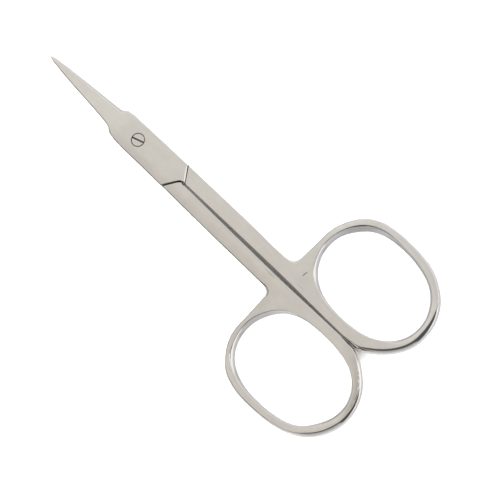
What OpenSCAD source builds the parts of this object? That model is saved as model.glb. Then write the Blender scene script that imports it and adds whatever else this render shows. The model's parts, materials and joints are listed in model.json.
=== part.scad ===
// Cuticle scissors: two forged steel halves, each one piece from blade tip to finger bow, held by one slotted pivot screw.
// Millimetres. X runs to the blade tips, Z is up, and the closed scissors lie flat on Z = 0.
// The lower half is the upper half turned half a turn about the long axis, apart from its pivot hole.

/* [Blades] */
// Length from the pivot axis to the blade tips
tip_x = 24.6; // [22:0.2:28]
// Half width of the blade just in front of the shoulder
blade_root_w = 1.86; // [1.6:0.02:2.0]
// How much further the spine reaches sideways than the cutting edge
spine_proud = 0.12; // [0.08:0.02:0.2]
// Thickness of one blade at its tip, along the spine
tip_t = 0.5; // [0.4:0.05:0.8]
// Width of the ground bevel along the cutting edge
bevel_w = 0.4; // [0.3:0.05:0.5]
// Depth of the hollow ground into the inner face at the blade's root
hollow_d = 0.14; // [0.05:0.01:0.16]

/* [Joint] */
// Half width of the joint plate at its handle end
joint_w = 3.2; // [3.0:0.05:3.5]
// Thickness of one half at the joint, which is also half the closed thickness
joint_t = 1.7; // [1.5:0.05:2]
// Gap between each half's inner face and the plane where they meet
face_gap = 0.015; // [0.01:0.005:0.03]
// Height of the joint plate above the shank face
plate_step = 0.12; // [0.05:0.01:0.2]
// Gap between the plate's slanted end and the other half's shoulder
end_gap = 0.3; // [0.25:0.01:0.4]

/* [Shanks] */
// Half width over both shanks
shank_w = 3.26; // [3.1:0.02:3.5]
// Half of the widest gap between the shanks
gap_mid = 0.37; // [0.3:0.01:0.5]
// Half of the gap where the two bows stop against each other
gap_stop = 0.07; // [0.05:0.01:0.1]
// Radius leg of the corner between shank and bow
corner_leg = 2.2; // [1.6:0.1:2.6]

/* [Bows] */
// Distance from the pivot axis to the far end of the bows
bow_end_x = 66.1; // [64:0.1:68]
// Distance from the pivot axis to the near side of the bows
bow_near_x = 38.9; // [38:0.1:40]
// Half width over both bows
bow_half_w = 21.4; // [20:0.1:23]
// Width of the bow's metal at its outer side
bow_stock = 1.8; // [1.5:0.05:1.9]
// Width of the bow's metal at its far end
bow_stock_end = 2.05; // [1.6:0.05:2.3]
// Width of the bow's metal beside the gap
bow_stock_mid = 2.15; // [1.8:0.05:2.3]

/* [Pivot screw] */
// Diameter of the screw head
head_d = 2.5; // [2.3:0.1:2.8]
// Thickness of the screw head
head_t = 0.6; // [0.5:0.05:0.7]
// Diameter of the screw's plain shank and thread
screw_d = 1.8; // [1.5:0.1:1.9]
// Radial clearance between the plain shank and its bore
bore_play = 0.02; // [0.01:0.01:0.04]
// Radial clearance round the head
head_play = 0.05; // [0.04:0.01:0.08]
// Width of the screwdriver slot
slot_w = 0.34; // [0.3:0.02:0.5]
// Depth of the screwdriver slot
slot_d = 0.3; // [0.2:0.05:0.35]
// Direction of the slot from the long axis, in degrees
slot_angle = 17.7; // [0:0.1:180]

/* [Opening] */
// How far the upper half is opened, in degrees: 0 is closed
open_angle = 0; // [0:1:150]

/* [Hidden] */
steel = [0.80, 0.785, 0.75];
steel_screw = [0.82, 0.81, 0.79];

// The pivot axis in the part's frame: the origin is the centre of the closed scissors' footprint.
pivot_x = (bow_end_x - tip_x) / 2;
mid_z = joint_t;
shank_t = joint_t - plate_step;

// Points in the working plane are [x, a]: x from the pivot axis to the tips, a to the half's own handle side.

// --- small functions -------------------------------------------------------
function mix(p, q, t) = p + (q - p) * t;
function ss(t) = let (u = min(1, max(0, t))) u * u * (3 - 2 * u);
function sgp(c, p) = sign(c) * pow(abs(c), p);
function unit(v) = v / max(norm(v), 1e-9);
function bez(p, q, r, t) = (1 - t) * (1 - t) * p + 2 * t * (1 - t) * q + t * t * r;
function flip(l) = [for (i = [len(l) - 1:-1:0]) l[i]];
// Slope at a knot of a table [[x, y], ...] that never overshoots
function slope(t, i) =
    let (n = len(t))
    i == 0 ? (t[1][1] - t[0][1]) / (t[1][0] - t[0][0])
    : i == n - 1 ? (t[n - 1][1] - t[n - 2][1]) / (t[n - 1][0] - t[n - 2][0])
    : let (h1 = t[i][0] - t[i - 1][0], h2 = t[i + 1][0] - t[i][0],
           d1 = (t[i][1] - t[i - 1][1]) / h1, d2 = (t[i + 1][1] - t[i][1]) / h2)
      d1 * d2 <= 0 ? 0 : 3 * (h1 + h2) / ((2 * h2 + h1) / d1 + (h2 + 2 * h1) / d2);
// Smooth curve through a table whose first column rises
function tab(t, x, i = 0) =
    x <= t[0][0] ? t[0][1]
    : x >= t[len(t) - 1][0] ? t[len(t) - 1][1]
    : x > t[i + 1][0] ? tab(t, x, i + 1)
    : let (h = t[i + 1][0] - t[i][0], s = (x - t[i][0]) / h,
           a = slope(t, i) * h, b = slope(t, i + 1) * h, p = t[i][1], q = t[i + 1][1])
      p + s * (a + s * (3 * (q - p) - 2 * a - b + s * (a + b - 2 * (q - p))));

// --- blade and joint outline ----------------------------------------------
// Spine side, and cutting-edge side with its sharper shoulder
spine_tab = [[-9.3, joint_w - 0.02], [-4.5, joint_w - 0.05], [0, joint_w - 0.1], [2.5, joint_w - 0.12], [4, joint_w - 0.2], [4.5, joint_w - 0.28],
    [5, joint_w - 0.44], [5.5, joint_w - 0.7], [6, joint_w - 0.96], [6.5, joint_w - 1.14], [7.5, blade_root_w],
    [tip_x - 14.9, blade_root_w - 0.2], [tip_x - 10.9, blade_root_w - 0.52], [tip_x - 6.9, blade_root_w - 0.81],
    [tip_x - 4.9, blade_root_w - 0.98], [tip_x - 3, blade_root_w - 1.17], [tip_x - 1.8, blade_root_w - 1.34],
    [tip_x - 0.9, blade_root_w - 1.53], [tip_x - 0.3, 0.17], [tip_x, 0.07]];
edge_tab = [[-10.4, joint_w - 0.02], [-5, joint_w - 0.08], [0, joint_w - 0.2], [3, joint_w - 0.29], [5, joint_w - 0.37], [5.3, joint_w - 0.42],
    [5.5, joint_w - 0.52], [6, joint_w - 0.92], [6.35, blade_root_w + 0.05], [6.6, blade_root_w - 0.05], [7.5, blade_root_w - spine_proud]];
function spine_a(x) = tab(spine_tab, x);
function edge_a(x) = x < 7.5 ? tab(edge_tab, x) : spine_a(x) - spine_proud * min(1, (tip_x - x) / 2);
// Top of the blade along its spine, and how much lower the face is at the cutting edge
top_tab = [[4, joint_t], [6, joint_t - 0.08], [8, joint_t - 0.24], [10, joint_t - 0.38], [14, joint_t - 0.6],
    [18, tip_t + 0.34], [22, tip_t + 0.14], [tip_x, tip_t]];
drop_tab = [[4, 0], [8, 0.1], [12, 0.16], [18, 0.16], [22, 0.12], [tip_x, 0.06]];
blade_x = [tip_x, tip_x - 0.1, tip_x - 0.3, tip_x - 0.6, tip_x - 1, tip_x - 1.5, tip_x - 2.2, tip_x - 3.2, tip_x - 4.6, tip_x - 6.4,
    tip_x - 8.6, tip_x - 11, tip_x - 13.4, 9.5, 8.4, 7.5, 6.9, 6.6, 6.35, 6.15, 5.9, 5.6, 5.4, 5.25, 5, 4.6, 4.1, 3.2, 1.5];

// --- gap, shank and bow ----------------------------------------------------
gap_tab = [[-bow_end_x + 8, gap_stop], [-55, gap_stop + 0.06], [-50, gap_stop + 0.12], [-45, gap_mid - 0.1], [-42, gap_mid - 0.04],
    [-38, gap_mid], [-30, gap_mid - 0.04], [-20, gap_mid - 0.13], [-12, 0.15]];
function gap_a(x) = tab(gap_tab, x);
shank_tab = [[-36, shank_w + 0.04], [-28, shank_w + 0.04], [-20, shank_w], [-10.4, joint_w - 0.02]];
function shank_a(x) = tab(shank_tab, x);

// Bow outline: rounded ovals whose fullness changes from corner to corner
function full(q, th) = let (p = (th - 45) / 90, i = floor(p), f = p - i, m = ((i % 4) + 4) % 4)
    mix(q[m], q[(m + 1) % 4], (1 - cos(180 * f)) / 2);
hole_near = -(bow_near_x + 1.8);
hole_far = -(bow_end_x - bow_stock_end);
hole_c = [(hole_near + hole_far) / 2, (bow_half_w - bow_stock + bow_stock_mid + 0.1) / 2];
hole_r = [(hole_near - hole_far) / 2, (bow_half_w - bow_stock - bow_stock_mid - 0.1) / 2];
function hole_p(th) = let (n = full([2.33, 2.06, 2.33, 2.33], th))
    [hole_c[0] + hole_r[0] * sgp(cos(th), 2 / n), hole_c[1] + hole_r[1] * sgp(sin(th), 2 / n)];
oval_c = [-(bow_near_x + bow_end_x) / 2, bow_half_w / 2 - 0.3];
oval_r = [(bow_end_x - bow_near_x) / 2, bow_half_w / 2 + 0.3];
th_a = -20;   // where the bow's outer outline starts, at the corner with the shank
th_b = 301;   // where it ends, on the side of the gap
function oval_p(th) =
    let (n = full([2.55, 2.15, 2.1, 1.85], th),
         x0 = oval_c[0] + oval_r[0] * sgp(cos(th), 2 / n),
         a0 = oval_c[1] + oval_r[1] * sgp(sin(th), 2 / n),
         x = th < 12 ? mix(-bow_near_x, x0, ss((th + 14) / 26)) : x0,
         a = th > 180 ? mix(a0, gap_a(x), ss((x + bow_end_x - 5) / 4)) : a0)
    [x, a];

// Shank rows: outer edge and gap edge, row by row, from the joint plate to the bow
plate_end_e = [-10.45, -10.72, -10.86];
plate_end_g = [-12.05, -12.32, -12.46];
row_x = [-13.4, -16, -20, -24, -28, -32, -bow_near_x + corner_leg + 1.4];
corner_p = [-bow_near_x + corner_leg, shank_w + 0.04];
corner_q = [-bow_near_x + 0.02, shank_w + 0.04];
corner_r = [-bow_near_x + 0.02, shank_w + 0.04 + corner_leg];
oval_a = oval_p(th_a);
oval_b = oval_p(th_b);
corner_t = [0, 0.2, 0.4, 0.6, 0.8, 1];
outer_rows = concat([for (x = plate_end_e) [x, shank_a(x)]], [for (x = row_x) [x, shank_a(x)]],
    [for (t = corner_t) bez(corner_p, corner_q, corner_r, t)], [oval_a]);
n_rows = len(outer_rows);
inner_rows = concat([for (x = plate_end_g) [x, gap_a(x)]], [for (x = row_x) [x - (x > -14 ? 0.7 : 0), gap_a(x - (x > -14 ? 0.7 : 0))]],
    [for (i = [0:5]) let (x = mix(-bow_near_x + corner_leg - 0.6, oval_b[0] + 0.9, i / 5)) [x, gap_a(x)]], [oval_b]);

// The plate's slanted end, from the gap corner out to the spine side
plate_end = [[-11.62, 0.02], [-11.36, -0.3], [-11.0, -0.78], [-10.3, -1.85], [-9.62, -2.85], [-9.4, -joint_w + 0.02]];

// --- the outer loop: one entry for each place on the outline ----------------
// [x, a, inset of the face's edge, height of the face there, wall shape]: shape 0 is rounded, 1 barrelled, 2 bevelled
function zshank(x) = mix(shank_t, joint_t, min(1, max(0, (-12.6 - x) / (bow_near_x - 12.6))));
ring_n = 54;
ring_th = [for (i = [1:ring_n - 1]) mix(th_a, th_b, i / ring_n)];
function ring_inset(th) = tab([[-20, 0.45], [10, 0.34], [60, 0.24], [110, 0.27], [150, 0.55], [185, 0.75], [220, 0.65], [245, 0.4], [265, 0.14], [301, 0.12]], th);
function ring_shape(th) = tab([[-20, 0.2], [20, 1], [240, 1], [262, 0.1]], th);
function row_z(i, x) = i == 0 ? joint_t : i == 1 ? shank_t - 0.04 : zshank(x);
loop = concat(
    [for (x = blade_x) let (w = edge_a(x))
        [x, w, x > 6.4 ? min(bevel_w, 0.55 * w) : mix(0.4, bevel_w, ss((x - 4) / 3)), tab(top_tab, x) - tab(drop_tab, x), x > 6.6 ? 2 : 2 * ss((x - 4) / 2.6)]],
    [for (i = [0:n_rows - 1]) let (p = outer_rows[i]) [p[0], p[1], mix(0.4, 0.5, min(1, i / 4)) - 0.05 * ss((i - 12) / 5), row_z(i, p[0]), 0.2 * ss((i - 12) / 5)]],
    [for (th = ring_th) let (p = oval_p(th)) [p[0], p[1], ring_inset(th), joint_t, ring_shape(th)]],
    [for (i = [n_rows - 1:-1:0]) let (p = inner_rows[i]) [p[0], p[1], 0.12, row_z(i, p[0]), 0]],
    [for (p = plate_end) [p[0], p[1], 0.12, joint_t, 0]],
    [for (x = flip(blade_x)) let (w = spine_a(x)) [x, -w, min(0.36, 0.45 * w), tab(top_tab, x), 0]]);
n_loop = len(loop);
nb = len(blade_x);
i_row = nb;                          // first outer shank row
i_ring = i_row + n_rows;             // first ring entry after the corner
i_gap = i_ring + len(ring_th);       // last gap row, next to the bow
i_end = i_gap + n_rows;              // first entry of the plate's end
i_spine = i_end + len(plate_end);    // first entry of the spine side, at the joint
hole_n = 72;
hole_th = [for (i = [0:hole_n - 1]) th_a + 360 * i / hole_n];
function hole_inset(th) = tab([[-59, 0.3], [-45, 0.45], [-25, 0.75], [-12, 0.6], [10, 0.6], [40, 0.8], [60, 0.6], [90, 0.38], [110, 0.36], [150, 0.45], [180, 0.5], [220, 0.42], [270, 0.25], [301, 0.3]], th > 301 ? th - 360 : th);

function P2(l, i) = let (n = len(l)) [l[(i + n) % n][0], l[(i + n) % n][1]];
function inward(l, i) = let (t = unit(unit(P2(l, i + 1) - P2(l, i)) + unit(P2(l, i) - P2(l, i - 1)))) [-t[1], t[0]];
// Wall from the face's edge to the mid plane, as [share of the inset, share of the height], for the three shapes
wall_n = 4;
function wall(s, h, k) =
    let (r = min(0.45, 0.42 * h), q = 90 * k / 3,
         round_w = k == 4 ? [0, 0] : [1 - sin(q), 1 - (r / h) * (1 - cos(q))],
         barrel_w = let (z = 1 - k / 4) [z * z, z],
         bevel_s = k == 4 ? [0, 0] : [1 - k / 3, 1 - (1 - 0.05 / h) * k / 3])
    s <= 1 ? mix(round_w, barrel_w, s) : mix(round_w, bevel_s, s - 1 < 0 ? 0 : min(1, s / 2));
function wall_pts(l, i, into) =
    let (e = l[i], o = [e[0], e[1]], f = o + into * e[2])
    [for (k = [0:wall_n - 1]) let (w = wall(e[4], e[3], k), p = mix(o, f, w[0])) [p[0], -p[1], e[3] * w[1]]];
hole = [for (th = hole_th) let (p = hole_p(th)) [p[0], p[1], hole_inset(th), joint_t, 1]];

// --- the solid, symmetrical about its mid plane -----------------------------
mids = concat([for (e = loop) [e[0], -e[1], 0]], [for (e = hole) [e[0], -e[1], 0]]);
tops = concat([for (i = [0:n_loop - 1]) each wall_pts(loop, i, inward(loop, i))],
    [for (i = [0:hole_n - 1]) each wall_pts(hole, i, -inward(hole, i))]);
n_mid = len(mids);
n_top = len(tops);
blank_pts = concat(mids, tops, [for (p = tops) [p[0], p[1], -p[2]]]);
function vl(i, k) = let (j = (i + n_loop) % n_loop) k == wall_n ? j : n_mid + j * wall_n + k;
function vh(i, k) = let (j = (i + hole_n) % hole_n) k == wall_n ? n_loop + j : n_mid + (n_loop + j) * wall_n + k;
function quad(a, b, c, d) = [[a, b, c], [a, c, d]];
// How many hole entries go with the bow's outer entries, and how many face the shank
function ring_hole(i) = round((i + 1) * (th_b - th_a) / ring_n / (360 / hole_n));
hole_b = ring_hole(ring_n - 1);
half_faces = concat(
    // walls
    [for (i = [0:n_loop - 1], k = [0:wall_n - 1]) each quad(vl(i, k), vl(i + 1, k), vl(i + 1, k + 1), vl(i, k + 1))],
    [for (i = [0:hole_n - 1], k = [0:wall_n - 1]) each quad(vh(i, k), vh(i, k + 1), vh(i + 1, k + 1), vh(i + 1, k))],
    // blade and joint faces
    [for (i = [0:nb - 2]) each quad(vl(i, 0), vl(n_loop - 1 - i, 0), vl(n_loop - 2 - i, 0), vl(i + 1, 0))],
    // the joint plate, between its last blade row, the shank's first row and its own slanted end
    [[vl(nb - 1, 0), vl(i_spine, 0), vl(i_row, 0)]],
    [[vl(i_row, 0), vl(i_spine, 0), vl(i_end - 1, 0)]],
    [for (i = [i_end - 1:i_spine - 2]) [vl(i, 0), vl(i_spine, 0), vl(i + 1, 0)]],
    // shank faces
    [for (i = [0:n_rows - 2]) each quad(vl(i_row + i, 0), vl(i_end - 1 - i, 0), vl(i_end - 2 - i, 0), vl(i_row + i + 1, 0))],
    // bow faces, from the corner with the shank round to the gap
    [for (i = [0:ring_n - 1]) let (o1 = vl(i_ring - 1 + i, 0), o2 = vl(i_ring + i, 0), h1 = i == 0 ? 0 : ring_hole(i - 1), h2 = ring_hole(i))
        each concat([[o1, vh(h1, 0), o2]], [for (h = [h1:1:h2 - 1]) [vh(h, 0), vh(h + 1, 0), o2]])],
    // the neck, between the shank's last row and the hole
    [for (h = [hole_b:hole_n - 1]) [vh(h, 0), vh(h + 1, 0), h < (hole_b + hole_n) / 2 - 0.6 ? vl(i_gap, 0) : vl(i_ring - 1, 0)]],
    [let (h = ceil((hole_b + hole_n) / 2 - 0.6)) [vh(h, 0), vl(i_ring - 1, 0), vl(i_gap, 0)]]);
function under(v) = v < n_mid ? v : v + n_top;
blank_faces = concat([for (f = half_faces) [f[0], f[2], f[1]]], [for (f = half_faces) [under(f[0]), under(f[1]), under(f[2])]]);
echo(tris = len(blank_faces));

module blank() {
    polyhedron(points = blank_pts, faces = blank_faces, convexity = 10);
}

// Space of the other half beyond the meeting plane: everything in front of the slanted shoulder
shoulder = [[-9.4 - end_gap * 1.15, -5], [-9.4 - end_gap * 1.15, -joint_w], [-9.62 - end_gap * 1.12, -2.85], [-10.3 - end_gap, -1.85], [-11.0 - end_gap, -0.78],
    [-11.3 - end_gap, -0.42], [-11.46 - end_gap, -0.26], [-11.66 - end_gap, -0.15], [-12.1 - end_gap, -0.1], [-12.1 - end_gap, 0.6], [-11.9, 5], [30, 5], [30, -5]];
module front_space() {
    translate([0, 0, face_gap - 5]) linear_extrude(5) polygon(shoulder);
}

// The hollow ground along the inner face of a blade: a shallow trough that fades out at the tip
module hollow() {
    r = 5;
    len_h = tip_x - 1.2 - 6.2;
    ang = atan(hollow_d / len_h);
    translate([6.2, 0.03, face_gap + hollow_d - r]) rotate([0, 90 + ang, 0]) cylinder(r = r, h = len_h + 0.3, $fn = 180);
}

// One half before its pivot hole is made
module half_blank() {
    difference() {
        blank();
        front_space();
        hollow();
    }
}

module upper_half() {
    color(steel)
    translate([pivot_x, 0, mid_z]) rotate([0, 0, open_angle])
    difference() {
        half_blank();
        // running bore for the screw's plain shank
        translate([0, 0, -1]) cylinder(d = screw_d + 2 * bore_play, h = 4, $fn = 96);
        // seat for the head
        translate([0, 0, joint_t - head_t - 0.02]) cylinder(d = head_d + 2 * head_play, h = 2, $fn = 96);
    }
}

module lower_half() {
    color(steel)
    translate([pivot_x, 0, mid_z])
    difference() {
        rotate([180, 0, 0]) half_blank();
        // tapped hole, shown at the thread's outer diameter
        translate([0, 0, -3]) cylinder(d = screw_d, h = 4, $fn = 96);
        // countersink that the screw's end is riveted into
        translate([0, 0, -joint_t - 0.2]) cylinder(d1 = screw_d + 1.0, d2 = screw_d, h = 0.5, $fn = 96);
    }
}

module pivot_screw() {
    r = screw_d / 2;
    top = joint_t - 0.01;
    bot = -joint_t + 0.01;
    color(steel_screw)
    translate([pivot_x, 0, mid_z])
    difference() {
        rotate_extrude($fn = 96) polygon([
            [0, bot], [r + 0.29, bot], [r, bot + 0.29], [r, joint_t - head_t],
            [head_d / 2, joint_t - head_t], [head_d / 2, top - 0.07], [head_d / 2 - 0.07, top], [0, top]]);
        translate([0, 0, top - slot_d]) rotate([0, 0, slot_angle]) translate([-head_d, -slot_w / 2, 0]) cube([2 * head_d, slot_w, 1]);
    }
}

upper_half();
lower_half();
pivot_screw();
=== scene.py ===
"""Cuticle scissors, closed, on a plain pale floor. Lengths below are in millimetres unless a name ends in _m.

Each half is modelled in its own working plane: [x, a], with x from the pivot axis to the tips and a to the half's
own handle side. The upper half has a = -y, and the lower half a = +y.
"""
import json
import math

import bpy
import numpy as np
from mathutils import Matrix, Vector
from mathutils.geometry import delaunay_2d_cdt

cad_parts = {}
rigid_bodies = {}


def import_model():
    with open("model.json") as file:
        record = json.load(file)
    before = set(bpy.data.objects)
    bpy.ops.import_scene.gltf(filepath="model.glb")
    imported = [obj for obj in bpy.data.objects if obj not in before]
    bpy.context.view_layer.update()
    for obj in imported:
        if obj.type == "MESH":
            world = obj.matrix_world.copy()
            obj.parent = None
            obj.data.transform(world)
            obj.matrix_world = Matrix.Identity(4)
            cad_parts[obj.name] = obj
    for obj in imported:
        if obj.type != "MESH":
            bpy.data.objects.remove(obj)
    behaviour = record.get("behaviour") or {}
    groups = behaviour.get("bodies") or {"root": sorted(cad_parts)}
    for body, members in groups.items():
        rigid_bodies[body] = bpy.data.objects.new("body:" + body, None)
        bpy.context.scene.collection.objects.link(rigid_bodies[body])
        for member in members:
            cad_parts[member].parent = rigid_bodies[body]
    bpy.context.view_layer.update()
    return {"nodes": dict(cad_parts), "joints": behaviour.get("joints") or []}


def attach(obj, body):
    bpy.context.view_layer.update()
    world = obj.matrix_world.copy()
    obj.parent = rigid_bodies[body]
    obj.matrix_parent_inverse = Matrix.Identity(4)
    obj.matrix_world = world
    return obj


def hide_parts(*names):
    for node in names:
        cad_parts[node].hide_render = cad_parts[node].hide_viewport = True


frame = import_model()

for o in list(bpy.data.objects):
    if o.type in ("LIGHT", "CAMERA"):
        bpy.data.objects.remove(o)

MM = 0.001
PIVOT = frame["joints"][0]["pos_m"]          # the pivot axis, in metres
TIP_X = 25.0
JOINT_T = 1.7
STEP = 0.17                                   # height of the joint plate above the shanks
GAP = 0.015                                   # each inner face to the plane where they meet


# --- curves ---------------------------------------------------------------------------------
def tab(t, x):
    """Smooth curve through a table [[x, y], ...] whose first column rises; it never overshoots."""
    t = np.asarray(t, float)
    x = np.asarray(x, float)
    h = np.diff(t[:, 0])
    d = np.diff(t[:, 1]) / h
    m = np.zeros(len(t))
    m[0], m[-1] = d[0], d[-1]
    for i in range(1, len(t) - 1):
        if d[i - 1] * d[i] > 0:
            h1, h2 = h[i - 1], h[i]
            m[i] = 3 * (h1 + h2) / ((2 * h2 + h1) / d[i - 1] + (h2 + 2 * h1) / d[i])
    xc = np.clip(x, t[0, 0], t[-1, 0])
    i = np.clip(np.searchsorted(t[:, 0], xc, side="right") - 1, 0, len(h) - 1)
    s = (xc - t[i, 0]) / h[i]
    p, q, a, b = t[i, 1], t[i + 1, 1], m[i] * h[i], m[i + 1] * h[i]
    return p + s * (a + s * (3 * (q - p) - 2 * a - b + s * (a + b - 2 * (q - p))))


def ring_tab(values, step, th):
    """Smooth closed curve through evenly spaced values, every step degrees."""
    v = np.asarray(values, float)
    f = np.fft.rfft(v) / len(v)
    k = np.arange(len(f))
    w = np.exp(-(k / 11.0) ** 4)
    out = np.full(np.shape(th), f[0].real)
    for j in range(1, len(f)):
        amp = (2 if j < len(v) / 2 else 1) * w[j] * f[j]
        out = out + (amp * np.exp(1j * j * np.radians(th))).real
    return out


def ss(t):
    t = np.clip(t, 0, 1)
    return t * t * (3 - 2 * t)


def mix(a, b, t):
    return a + (b - a) * t


def noise1(x, seed, scale):
    """Smooth repeatable noise in one direction, about -1 to 1."""
    x = np.asarray(x, float) / scale
    i = np.floor(x)
    f = x - i

    def h(k):
        s = np.sin(k * 127.1 + seed * 311.7) * 43758.5453
        return 2 * (s - np.floor(s)) - 1
    return mix(h(i), h(i + 1), f * f * (3 - 2 * f))


# --- outline of a half -----------------------------------------------------------------------
joint_w, blade_w, spine_proud = 3.2, 1.86, 0.12
SPINE = [[-9.3, joint_w - .02], [-4.5, joint_w - .05], [0, joint_w - .04], [2.5, joint_w - .08], [4.2, joint_w - .2], [4.75, joint_w - .28],
         [5.25, joint_w - .42], [5.75, joint_w - .66], [6.25, joint_w - .93], [6.75, joint_w - 1.12], [7.7, blade_w],
         [9.7, blade_w - .19], [13.7, blade_w - .50], [17.7, blade_w - .79],
         [19.7, blade_w - .96], [21.6, blade_w - 1.14], [22.8, blade_w - 1.31],
         [TIP_X - 1.3, .50], [TIP_X - .6, .34], [TIP_X - .2, .22], [TIP_X, .12]]
EDGE = [[-10.4, joint_w - .02], [-5, joint_w - .08], [0, joint_w - .2], [3, joint_w - .29], [5.3, joint_w - .33], [5.62, joint_w - .36],
        [5.87, joint_w - .43], [6.35, joint_w - .82], [6.72, blade_w + .03], [7.0, blade_w - .06], [7.7, blade_w - spine_proud]]
TOP = [[4, JOINT_T], [6, JOINT_T - .08], [8, JOINT_T - .24], [10, JOINT_T - .38], [14, JOINT_T - .6], [18, .84], [22, .62], [TIP_X - .5, .44], [TIP_X, .3]]
DROP = [[4, 0], [8, .1], [12, .16], [18, .16], [22, .12], [TIP_X, .06]]


def spine_a(x):
    return tab(SPINE, x)


def edge_a(x):
    x = np.asarray(x, float)
    return np.where(x < 7.7, tab(EDGE, np.minimum(x, 7.7)), spine_a(x) - spine_proud * np.minimum(1, (TIP_X - x) / 2))


GAP_T = [[-58.1, .07], [-55, .13], [-50, .19], [-45, .27], [-42, .33], [-38, .37], [-30, .33], [-20, .24], [-12, .15]]
SHANK = {
    "upper": [[-38, 3.41], [-35.5, 3.27], [-33, 3.24], [-30, 3.31], [-26, 3.33], [-20, 3.29], [-10.4, joint_w - .02]],
    "lower": [[-37, 3.32], [-28, 3.32], [-20, 3.3], [-10.4, joint_w]],
}
# Bows: how far the outlines lie outside a rounded oval, every 10 degrees from the side nearest the tips,
# round by the outer side, the far end and the gap
HOLE = {
    "upper": [-.04, -.13, -.31, -.4, -.34, -.17, .01, -.03, -.1, -.11, -.23, -.24, -.19, -.12, -.22, -.23, -.22, -.16,
              -.1, -.1, -.19, -.2, -.26, -.27, -.27, -.28, -.32, -.27, -.21, -.16, -.09, -.15, -.17, -.15, -.14, -.09],
    "lower": [.25, .26, .24, .32, .39, .32, .3, .23, .11, .02, -.07, -.11, -.04, -.04, -.21, -.39, -.38, -.19,
              .07, .2, .24, .29, .33, .32, .16, .03, -.15, -.09, -.09, .04, .13, .13, .05, -.08, -.1, .06],
}
OUTER = {
    "upper": [[0, 1.88], [10, 1.8], [20, 1.74], [30, 1.86], [40, 2.07], [50, 2.21], [60, 2.21], [70, 2.05], [80, 1.89], [90, 1.76], [100, 1.75],
              [110, 1.81], [120, 1.78], [130, 1.73], [140, 1.75], [150, 1.77], [160, 1.8], [170, 1.86], [180, 1.96], [190, 2.09],
              [200, 2.14], [210, 2.16], [220, 2.26], [230, 2.46], [240, 2.76]],
    "lower": [[0, 2.17], [10, 1.96], [20, 1.98], [30, 2.05], [40, 2.15], [50, 2.36], [60, 2.28], [70, 2.11], [80, 1.91], [90, 1.73], [100, 1.65],
              [110, 1.66], [120, 1.75], [130, 1.84], [140, 1.92], [150, 1.96], [160, 2.02], [170, 2.14], [180, 2.31], [190, 2.31],
              [200, 2.3], [210, 2.37], [220, 2.41], [230, 2.5], [240, 2.75]],
}
# Width of the rounded wall, from the outline in to the flat face's edge
WALL_OUT = {
    "upper": [[-20, .5], [0, .46], [60, .38], [100, .32], [128, .28], [145, .26], [160, .58], [172, .76], [185, .85], [215, .85], [232, .85], [246, .6], [262, .2], [301, .14]],
    "lower": [[-20, .5], [0, .46], [60, .38], [90, .34], [118, .27], [130, .42], [142, .66], [165, .68], [185, .62], [200, .48], [220, .42], [238, .42], [250, .3], [265, .16], [301, .14]],
}
WALL_IN = {
    "upper": [[-60, .3], [-50, .44], [-40, .62], [-30, .56], [-15, .48], [-5, .52], [10, .57], [20, .7], [32, .9], [42, .97], [52, .9], [62, .8], [72, .7],
              [82, .5], [92, .36], [120, .4], [150, .52], [180, .54], [210, .52], [235, .34], [270, .28], [300, .3]],
    "lower": [[-60, .2], [-45, .34], [-30, .56], [-10, .62], [0, .56], [12, .46], [24, .52], [36, .71], [50, .56], [62, .42], [80, .42], [95, .44], [120, .36],
              [150, .42], [165, .55], [182, .62], [200, .52], [225, .3], [250, .14], [270, .14], [300, .2]],
}
oval_c, oval_r = np.array([-52.68, 10.4]), np.array([13.6, 11.0])


def full(q, th):
    p = (np.asarray(th, float) - 45) / 90
    i = np.floor(p).astype(int)
    q = np.array(q)
    return q[i % 4] + (q[(i + 1) % 4] - q[i % 4]) * (1 - np.cos(np.pi * (p - i))) / 2


def sell(c, r, n, th):
    ct, st = np.cos(np.radians(th)), np.sin(np.radians(th))
    return np.stack([c[0] + r[0] * np.sign(ct) * abs(ct) ** (2 / n), c[1] + r[1] * np.sign(st) * abs(st) ** (2 / n)], -1)


def ref(th):
    return sell((-52.58, 10.9), (11.7, 8.75), full([2.3, 2.2, 2.2, 2.3], th), th)


def ref_off(th, d):
    t = ref(th + .2) - ref(th - .2)
    t /= np.linalg.norm(t, axis=1)[:, None]
    return ref(th) + np.stack([t[:, 1], -t[:, 0]], -1) * np.asarray(d)[:, None]


def oval(th):
    """The bow's outer outline as the solid model has it, used where it runs into the shank and the gap."""
    p = sell(oval_c, oval_r, full([2.55, 2.15, 2.1, 1.85], th), th)
    x = np.where(th < 12, mix(-39.02, p[:, 0], ss((th + 14) / 26)), p[:, 0])
    a = np.where(th > 180, mix(p[:, 1], tab(GAP_T, x), ss((x + 66.28 - 5) / 4)), p[:, 1])
    return np.stack([x, a], -1)


def bez(p, q, r, t):
    t = np.asarray(t)[:, None]
    return (1 - t) ** 2 * np.array(p) + 2 * t * (1 - t) * np.array(q) + t * t * np.array(r)


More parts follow.
